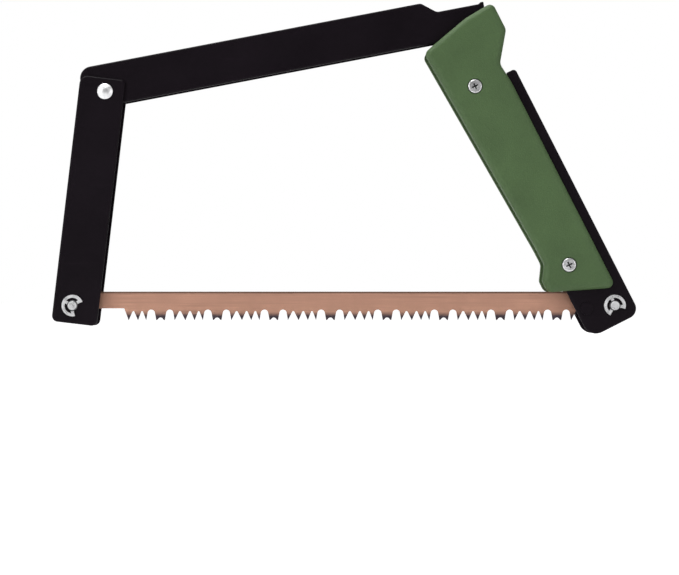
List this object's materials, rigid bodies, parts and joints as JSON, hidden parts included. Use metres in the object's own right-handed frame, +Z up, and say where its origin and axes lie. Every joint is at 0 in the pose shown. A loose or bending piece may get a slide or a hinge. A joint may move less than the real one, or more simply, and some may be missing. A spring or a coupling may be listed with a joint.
{
  "type": "folding bow saw",
  "caption": "Folding bow saw: raker-toothed blade held between a pivoting front arm and a tension lever, under a channel spar with a moulded two-part grip.",
  "frame": {"origin": "under the middle of the saw, level with its lowest point, in the middle plane", "axes": "+X along the blade from the front arm to the handle, +Y through the thickness, away from the near side, +Z up from the blade to the spar"},
  "size_m": [0.3898, 0.027, 0.2219],
  "materials": {
    "black_frame": "satin black anodised sheet aluminium",
    "black_rivet": "satin black",
    "bright_steel": "bright plated steel",
    "blade_steel": "copper-brown coated spring steel, ground teeth",
    "green_grip": "fine moulded texture, olive green",
    "nylon": "dark nylon"
  },
  "bodies": {
    "spar": {"spar": "black_frame", "arm_rivet_near": "bright_steel", "arm_rivet_far": "bright_steel", "frame_rivet_near": "black_rivet", "frame_rivet_far": "black_rivet"},
    "arm": {"arm": "black_frame", "front_blade_pin": "bright_steel", "front_clip_near": "bright_steel", "front_clip_far": "bright_steel", "front_spacers": "nylon", "arm_washers": "nylon"},
    "blade": {"blade": "blade_steel"},
    "handle": {"handle_frame": "black_frame", "grip_near": "green_grip", "grip_far": "green_grip", "grip_screw_upper_near": "bright_steel", "grip_screw_upper_far": "bright_steel", "grip_screw_lower_near": "bright_steel", "grip_screw_lower_far": "bright_steel", "frame_washers": "nylon", "lever_rivet_near": "black_rivet", "lever_rivet_far": "black_rivet"},
    "lever": {"tension_lever": "black_frame", "rear_blade_pins": "bright_steel", "rear_clip_near": "bright_steel", "rear_clip_far": "bright_steel", "rear_spacers": "nylon", "lever_washers": "nylon"}
  },
  "joints": [
    {"name": "arm_fold", "type": "hinge", "parent": "spar", "child": "arm", "pos_m": [-0.15938, 0, 0.16167], "axis": [0, 1, 0], "range_deg": [0, 72.5]},
    {"name": "blade_fold", "type": "hinge", "parent": "arm", "child": "blade", "pos_m": [-0.181, 0, 0.01877], "axis": [0, 1, 0], "range_deg": [-83.3, 0]},
    {"name": "handle_fold", "type": "hinge", "parent": "spar", "child": "handle", "pos_m": [0.08068, 0, 0.20431], "axis": [0, 1, 0], "range_deg": [0, 101]},
    {"name": "lever_swing", "type": "hinge", "parent": "handle", "child": "lever", "pos_m": [0.16176, 0, 0.01678], "axis": [0, 1, 0], "range_deg": [0, 50]}
  ],
  "couplings": [
    {"joint": "blade_fold", "follows": "arm_fold", "ratio": -1.149}
  ]
}
